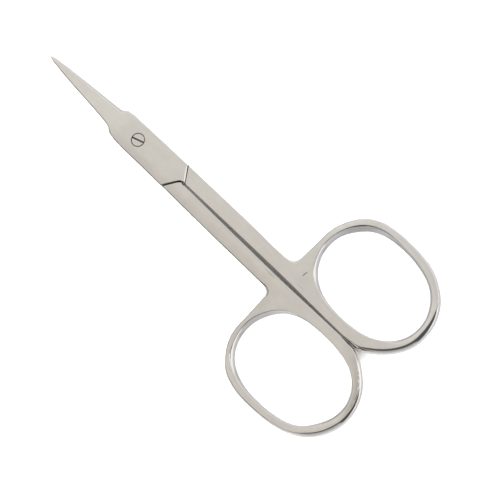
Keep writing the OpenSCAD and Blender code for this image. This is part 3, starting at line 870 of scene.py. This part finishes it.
# --- materials --------------------------------------------------------------------------------
class Nodes:
    def __init__(self, name):
        self.m = bpy.data.materials.new(name)
        self.m.use_nodes = True
        self.t = self.m.node_tree
        self.t.nodes.clear()

    def new(self, kind, **kw):
        n = self.t.nodes.new(kind)
        for k, v in kw.items():
            setattr(n, k, v)
        return n

    def link(self, a, b):
        self.t.links.new(a, b)

    def val(self, v):
        n = self.new("ShaderNodeValue")
        n.outputs[0].default_value = v
        return n.outputs[0]

    def math(self, op, a, b=None, c=None, clamp=False):
        n = self.new("ShaderNodeMath", operation=op, use_clamp=clamp)
        for i, x in enumerate((a, b, c)):
            if x is None:
                continue
            if isinstance(x, (int, float)):
                n.inputs[i].default_value = x
            else:
                self.link(x, n.inputs[i])
        return n.outputs[0]

    def noise(self, vec, scale, detail=3, rough=.5, dist=0.0):
        n = self.new("ShaderNodeTexNoise")
        n.inputs["Scale"].default_value = scale
        n.inputs["Detail"].default_value = detail
        n.inputs["Roughness"].default_value = rough
        n.inputs["Distortion"].default_value = dist
        self.link(vec, n.inputs["Vector"])
        return n.outputs[0]

    def mapping(self, vec, scale=(1, 1, 1), rot=(0, 0, 0), loc=(0, 0, 0)):
        n = self.new("ShaderNodeMapping")
        n.inputs["Scale"].default_value = scale
        n.inputs["Rotation"].default_value = rot
        n.inputs["Location"].default_value = loc
        self.link(vec, n.inputs["Vector"])
        return n.outputs[0]

    def ramp(self, fac, lo, hi):
        """Smooth 0 to 1 as fac goes from lo to hi."""
        n = self.new("ShaderNodeMapRange", interpolation_type="SMOOTHSTEP")
        n.inputs["From Min"].default_value = lo
        n.inputs["From Max"].default_value = hi
        self.link(fac, n.inputs["Value"])
        return n.outputs[0]

    def lerp(self, fac, a, b):
        """a + (b - a) * fac for numbers."""
        n = self.new("ShaderNodeMix", data_type="FLOAT")
        for s, x in ((n.inputs[0], fac), (n.inputs[2], a), (n.inputs[3], b)):
            if isinstance(x, (int, float)):
                s.default_value = x
            else:
                self.link(x, s)
        return n.outputs[0]

    def mixc(self, fac, a, b, blend="MIX"):
        n = self.new("ShaderNodeMix", data_type="RGBA", blend_type=blend)
        for s, x in ((n.inputs[0], fac), (n.inputs[6], a), (n.inputs[7], b)):
            if isinstance(x, (int, float)):
                s.default_value = x
            elif isinstance(x, tuple):
                s.default_value = x + (1,) if len(x) == 3 else x
            else:
                self.link(x, s)
        return n.outputs[2]


STEEL = (.80, .785, .75)


def steel_material(name, screw=False):
    n = Nodes(name)
    tc = n.new("ShaderNodeTexCoord")
    obj = tc.outputs["Object"]
    geo = n.new("ShaderNodeNewGeometry")
    sep = n.new("ShaderNodeSeparateXYZ")
    n.link(geo.outputs["Normal"], sep.inputs[0])
    up = n.math("ABSOLUTE", sep.outputs[2])
    flat = n.ramp(up, .90, .99)                    # 1 on ground flats, 0 on polished walls
    at_g = n.new("ShaderNodeAttribute", attribute_name="recess_shade")
    at_i = n.new("ShaderNodeAttribute", attribute_name="inner")
    recess_shade = at_g.outputs["Fac"]
    inner = at_i.outputs["Fac"]
    at_b = n.new("ShaderNodeAttribute", attribute_name="bore")
    bore = at_b.outputs["Fac"]

    # cloudy variation left by belt grinding, in two sizes, and pale smudges
    cloud = n.noise(n.mapping(obj, (1, 1.6, 1)), 260, 4, .55, .6)
    blotch = n.noise(n.mapping(obj, (1, 1, 1), loc=(.3, .1, 0)), 900, 3, .6, .3)
    # satin grain: long fine lines down the length on the faces, across on the inner faces
    g1 = n.noise(n.mapping(obj, (500, 9000, 500), (0, 0, .05)), 1.0, 4, .65)
    g2 = n.noise(n.mapping(obj, (300, 22000, 300), (0, 0, -.04)), 1.0, 3, .6)
    grain_l = n.math("ADD", n.math("MULTIPLY", g1, .6), n.math("MULTIPLY", g2, .4))
    t1 = n.noise(n.mapping(obj, (9000, 500, 500), (0, 0, .12)), 1.0, 4, .65)
    grain = n.lerp(inner, grain_l, t1)
    fine = n.noise(obj, 14000, 2, .5)
    # sparse hairline scratches
    s1 = n.noise(n.mapping(obj, (150, 5200, 150), (0, 0, .5), (.02, .01, 0)), 1.0, 1, .3)
    s2 = n.noise(n.mapping(obj, (170, 4800, 150), (0, 0, -.75), (.01, .03, 0)), 1.0, 1, .3)
    scratch = n.math("ADD", n.ramp(s1, .73, .80), n.ramp(s2, .73, .80), clamp=True)
    # short polishing lines round the walls
    pol = n.noise(n.mapping(obj, (900, 900, 9000)), 1.0, 3, .6)

    # colour
    c = n.mixc(n.ramp(cloud, .30, .72), (STEEL[0] * .98, STEEL[1] * .985, STEEL[2] * .995), (STEEL[0] * 1.055, STEEL[1] * 1.06, STEEL[2] * 1.075))
    c = n.mixc(n.math("MULTIPLY", n.ramp(blotch, .50, .75), .30), c, (STEEL[0] * .93, STEEL[1] * .915, STEEL[2] * .89))
    c = n.mixc(n.math("MULTIPLY", n.ramp(grain, .35, .75), .10), c, (.90, .885, .86))
    c = n.mixc(n.math("MULTIPLY", scratch, n.math("MULTIPLY", flat, .25)), c, (.93, .92, .90))
    # painted shade: a very slow change across the pair, from lighter and cooler to darker and a little warmer towards
    # +y and the handles, where less light falls
    sp = n.new("ShaderNodeSeparateXYZ")
    n.link(obj, sp.inputs[0])
    light_falloff = n.math("ADD", sp.outputs[1], n.math("MULTIPLY", n.math("SUBTRACT", cloud, .5), .006))
    light_falloff = n.math("SUBTRACT", light_falloff, n.math("MULTIPLY", n.math("SUBTRACT", sp.outputs[0], .005), .12))
    c = n.mixc(1.0, c, n.mixc(n.ramp(light_falloff, -.012, .006), (1.0, 1.0, 1.0), (.955, .935, .915)), "MULTIPLY")
    # painted shade: the lower half's shank is painted a little darker towards its outer edge, where less light falls
    outer_edge_shade = n.math("MULTIPLY", n.ramp(sp.outputs[1], .0009, .0029), n.math("MULTIPLY", n.ramp(sp.outputs[0], -.0210, -.0165), n.ramp(sp.outputs[0], .0310, .0250)))
    c = n.mixc(outer_edge_shade, c, n.mixc(1.0, c, (.895, .895, .885), "MULTIPLY"))
    # painted shade on the bows' inner walls
    c = n.mixc(n.math("MULTIPLY", bore, .75, clamp=True), c, (.38, .37, .37))
    # painted shade: the dark brown that the recess faces take, a little lighter and greyer on the screw
    if screw:
        dark = n.mixc(n.ramp(fine, .35, .7), (.105, .090, .072), (.22, .195, .165))
    else:
        dark = n.mixc(n.ramp(fine, .35, .7), (.105, .070, .046), (.150, .108, .078))
    c = n.mixc(n.math("MULTIPLY", recess_shade, .92), c, dark)

    if not screw:
        def spot(x, y, lx, ly, deg):
            """1 inside a long thin mark at (x, y) mm from the pivot, fading at its rim."""
            cx, cy = PIVOT[0] + x * MM, PIVOT[1] + y * MM
            k = math.radians(deg)
            v = n.new("ShaderNodeVectorMath", operation="SUBTRACT")
            v.inputs[1].default_value = (cx, cy, 0)
            wob = n.new("ShaderNodeVectorMath", operation="MULTIPLY_ADD")
            wn = n.new("ShaderNodeTexNoise")
            wn.inputs["Scale"].default_value = 1800
            n.link(obj, wn.inputs["Vector"])
            n.link(wn.outputs["Color"], wob.inputs[0])
            wob.inputs[1].default_value = (.00025, .00025, 0)
            n.link(obj, wob.inputs[2])
            n.link(wob.outputs[0], v.inputs[0])
            m = n.mapping(v.outputs[0], (1, 1, 0), (0, 0, -k))
            e = n.new("ShaderNodeVectorMath", operation="MULTIPLY")
            e.inputs[1].default_value = (1000 / lx, 1000 / ly, 0)
            n.link(m, e.inputs[0])
            ln = n.new("ShaderNodeVectorMath", operation="LENGTH")
            n.link(e.outputs[0], ln.inputs[0])
            return n.ramp(ln.outputs["Value"], 1.0, .35)
        front = n.math("MULTIPLY", n.ramp(sep.outputs[2], .5, .9), flat)
        nick = n.math("MULTIPLY", spot(-41.62, -3.45, .2, .85, -8), front)
        smudge = n.math("MULTIPLY", n.math("ADD", spot(-36.7, 1.02, 1.9, .2, -2), n.math("MULTIPLY", spot(-42.8, -1.15, 1.5, .2, 4), .6)), front)
        c = n.mixc(n.math("MULTIPLY", nick, .75), c, (.24, .23, .21))
        c = n.mixc(n.math("MULTIPLY", smudge, .45), c, (.45, .42, .39))
    # roughness
    rf = n.math("ADD", n.lerp(n.ramp(cloud, .3, .7), .285, .345), n.math("MULTIPLY", n.math("SUBTRACT", grain, .5), .12))
    rw = n.math("ADD", .105, n.math("MULTIPLY", pol, .06))
    rough = n.lerp(flat, rw, rf)
    rough = n.lerp(inner, rough, .30)
    rough = n.lerp(bore, rough, .27)
    rough = n.lerp(recess_shade, rough, .55)

    # bump: grain on the flats, very faint waviness on the walls
    hgt = n.math("ADD", n.math("MULTIPLY", grain, .55), n.math("MULTIPLY", fine, .25))
    hgt = n.math("SUBTRACT", hgt, n.math("MULTIPLY", scratch, .5))
    wav = n.noise(obj, 420, 2, .5)
    h_wall = n.math("ADD", n.math("MULTIPLY", pol, .10), n.math("MULTIPLY", wav, 1.2))
    height = n.lerp(flat, h_wall, hgt)
    if not screw:
        height = n.math("SUBTRACT", height, n.math("MULTIPLY", nick, 3.0))
    bump = n.new("ShaderNodeBump")
    bump.inputs["Strength"].default_value = .35
    bump.inputs["Distance"].default_value = .00001
    n.link(height, bump.inputs["Height"])

    p = n.new("ShaderNodeBsdfPrincipled")
    p.inputs["Metallic"].default_value = 1.0
    n.link(c, p.inputs["Base Color"])
    n.link(rough, p.inputs["Roughness"])
    n.link(bump.outputs[0], p.inputs["Normal"])
    out = n.new("ShaderNodeOutputMaterial")
    n.link(p.outputs[0], out.inputs[0])
    return n.m


def floor_material():
    n = Nodes("floor_white")
    tc = n.new("ShaderNodeTexCoord")
    v = n.noise(tc.outputs["Object"], 60, 3, .5)
    c = n.mixc(v, (.90, .90, .90), (.93, .93, .93))
    p = n.new("ShaderNodeBsdfPrincipled")
    p.inputs["Roughness"].default_value = .9
    p.inputs["Specular IOR Level"].default_value = .2
    n.link(c, p.inputs["Base Color"])
    out = n.new("ShaderNodeOutputMaterial")
    n.link(p.outputs[0], out.inputs[0])
    return n.m


# --- the pieces -------------------------------------------------------------------------------
m_half = steel_material("ground_steel")
m_screw = steel_material("screw_steel", True)

upper = make_half("upper")
lower = make_half("lower")
screw = make_screw()
for ob, mat, body, node, slot in ((upper, m_half, "upper", "upper_half", "ground_steel"), (lower, m_half, "lower", "lower_half", "ground_steel"),
                                  (screw, m_screw, "lower", "pivot_screw", "screw_steel")):
    ob.data.materials.clear()
    ob.data.materials.append(mat)
    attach(ob, body)
    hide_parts(node)
    frame["nodes"][node].data.materials.clear()
    frame["nodes"][node].data.materials.append(mat)

# --- stage ------------------------------------------------------------------------------------
me = bpy.data.meshes.new("floor")
s = 3.0
me.from_pydata([(-s, -s, 0), (s, -s, 0), (s, s, 0), (-s, s, 0)], [], [(0, 1, 2, 3)])
floor = bpy.data.objects.new("floor", me)
bpy.context.scene.collection.objects.link(floor)
floor.location.z = -.00002
me.materials.append(floor_material())
floor.visible_glossy = False

# soft boxes round the table that light the floor evenly
for k, (deg, watts) in enumerate(((90, 13), (-90, 12), (40, 12), (-40, 11), (138, 7.5), (-138, 6.5))):
    ld = bpy.data.lights.new("softbox_%d" % k, "AREA")
    ld.shape = "RECTANGLE"
    ld.size, ld.size_y = .8, .7
    ld.energy = watts
    box = bpy.data.objects.new("softbox_%d" % k, ld)
    bpy.context.scene.collection.objects.link(box)
    away_ = Vector((-math.cos(math.radians(deg)), math.sin(math.radians(deg)), 1.0)) * .95
    box.location = away_
    box.rotation_euler = (-away_).to_track_quat("-Z", "Y").to_euler()
    box.visible_glossy = False

# --- light ------------------------------------------------------------------------------------
w = bpy.data.worlds.new("studio")
bpy.context.scene.world = w
w.use_nodes = True
nt = w.node_tree
nt.nodes.clear()
tc = nt.nodes.new("ShaderNodeTexCoord")
out = nt.nodes.new("ShaderNodeOutputWorld")
bg = nt.nodes.new("ShaderNodeBackground")


def wmath(op, a, b=None, clamp=False):
    n = nt.nodes.new("ShaderNodeMath")
    n.operation = op
    n.use_clamp = clamp
    for i, x in enumerate((a, b)):
        if x is None:
            continue
        if isinstance(x, (int, float)):
            n.inputs[i].default_value = x
        else:
            nt.links.new(x, n.inputs[i])
    return n.outputs[0]


def wramp(x, lo, hi):
    n = nt.nodes.new("ShaderNodeMapRange")
    n.interpolation_type = "SMOOTHSTEP"
    n.inputs["From Min"].default_value = lo
    n.inputs["From Max"].default_value = hi
    nt.links.new(x, n.inputs["Value"])
    return n.outputs[0]


def wdot(d):
    n = nt.nodes.new("ShaderNodeVectorMath")
    n.operation = "DOT_PRODUCT"
    v = Vector(d).normalized()
    n.inputs[1].default_value = v
    nt.links.new(tc.outputs["Generated"], n.inputs[0])
    return n.outputs["Value"]


# a light tent: an even warm grey panel overhead, a bright window to one side, a dark sector towards the handles
def wmix(f, a, b):
    n = nt.nodes.new("ShaderNodeMix")
    n.data_type = "FLOAT"
    for sck, x in ((n.inputs[0], f), (n.inputs[2], a), (n.inputs[3], b)):
        if isinstance(x, (int, float)):
            sck.default_value = x
        else:
            nt.links.new(x, sck)
    return n.outputs[0]


flatten = nt.nodes.new("ShaderNodeVectorMath")
flatten.operation = "MULTIPLY"
flatten.inputs[1].default_value = (1, 1, 0)
nt.links.new(tc.outputs["Generated"], flatten.inputs[0])
unit = nt.nodes.new("ShaderNodeVectorMath")
unit.operation = "NORMALIZE"
nt.links.new(flatten.outputs[0], unit.inputs[0])


def around(deg):
    """Cosine of the angle round the horizon from a direction, in degrees from -X towards +Y."""
    n = nt.nodes.new("ShaderNodeVectorMath")
    n.operation = "DOT_PRODUCT"
    n.inputs[1].default_value = (-math.cos(math.radians(deg)), math.sin(math.radians(deg)), 0)
    nt.links.new(unit.outputs[0], n.inputs[0])
    return n.outputs["Value"]


OVERHEAD, DARK = .766, .09
z = wdot((0, 0, 1))
dx = wdot((1, 0, 0))
dy = wdot((0, -1, 0))
low = wramp(z, .60, .46)
over = wmath("ADD", OVERHEAD, wmath("SUBTRACT", wmath("MULTIPLY", wmath("SUBTRACT", dx, .26), .38), wmath("MULTIPLY", dy, .10)))
# the side towards the upper half's bow: light all the way down
level = wmix(wramp(around(-90), .35, .80), 1.02, .84)
# towards the tips and the lower half's side: light above, grey under the horizon
warm_side = wramp(around(125), -.15, .35)
level = wmix(warm_side, level, wmix(wramp(z, .10, -.02), .90, .55))
# towards the handles' end: grey at the horizon, lighter from the table
back_side = wramp(around(22), .10, .40)
level = wmix(back_side, level, wmix(wramp(z, .05, -.85), .52, .90))
level = wmix(low, over, level)
# dark strip on the lower half's side, for the straight edges
strip = wmath("MULTIPLY", wramp(around(122), .50, .72), wmath("MULTIPLY", wramp(z, -.05, .08), wramp(z, .66, .54)))
level = wmix(strip, level, .36)
# window
window = wmath("MULTIPLY", wramp(around(-52), .66, .78), wramp(z, .82, .66))
level = wmix(window, level, wmix(wramp(z, -.40, -.62), 1.25, .72))
# dark zone above the horizon, round from the handles' end to the lower half's side; deeper next to the window
near = wmath("MULTIPLY", wramp(around(-12), .905, .95), .36)
floor_z = wmath("SUBTRACT", .16, near)
d1 = wmath("MULTIPLY", wramp(around(30), .25, .34), wmath("MULTIPLY", wramp(wmath("SUBTRACT", z, floor_z), -.06, .06), wramp(z, .76, .64)))
level = wmix(d1, level, DARK)
col = nt.nodes.new("ShaderNodeCombineColor")
nt.links.new(level, col.inputs[0])
upper_side = wramp(around(-112), .05, .5)
cool = wmath("MULTIPLY", low, wmath("MAXIMUM", back_side, upper_side))
nt.links.new(wmath("MULTIPLY", level, wmix(cool, wmix(low, .972, .988), 1.0)), col.inputs[1])
nt.links.new(wmath("MULTIPLY", level, wmix(cool, wmix(low, .925, .975), 1.02)), col.inputs[2])
nt.links.new(col.outputs[0], bg.inputs["Color"])
plain = nt.nodes.new("ShaderNodeBackground")
plain.inputs["Color"].default_value = (1, 1, 1, 1)
plain.inputs["Strength"].default_value = 1.05
lp = nt.nodes.new("ShaderNodeLightPath")
mx = nt.nodes.new("ShaderNodeMixShader")
nt.links.new(lp.outputs["Is Camera Ray"], mx.inputs[0])
nt.links.new(bg.outputs[0], mx.inputs[1])
nt.links.new(plain.outputs[0], mx.inputs[2])
nt.links.new(mx.outputs[0], out.inputs[0])

vs = bpy.context.scene.view_settings
vs.view_transform = "Standard"
vs.look = "None"
vs.exposure = 0
vs.gamma = 1

# --- camera -----------------------------------------------------------------------------------
t, r = math.radians(14.0), math.radians(43.9)
back = Vector((-math.sin(t), 0, math.cos(t)))
ax = Vector((math.cos(t), 0, math.sin(t)))
lat = Vector((0, 1, 0))
right = -math.cos(r) * ax - math.sin(r) * lat
down = -math.sin(r) * ax + math.cos(r) * lat
cam_d = bpy.data.cameras.new("camera")
cam_d.sensor_width = 36
cam_d.lens = 2656.7 * 36 / 494
cam_d.clip_start = .01
cam_d.clip_end = 20
cam = bpy.data.objects.new("camera", cam_d)
bpy.context.scene.collection.objects.link(cam)
target = Vector((PIVOT[0] - .03005, PIVOT[1] + .0003, .0033))
pos = target + back * .5
cam.matrix_world = Matrix(((right.x, -down.x, back.x, pos.x), (right.y, -down.y, back.y, pos.y), (right.z, -down.z, back.z, pos.z), (0, 0, 0, 1)))
bpy.context.scene.camera = cam

bpy.context.view_layer.update()
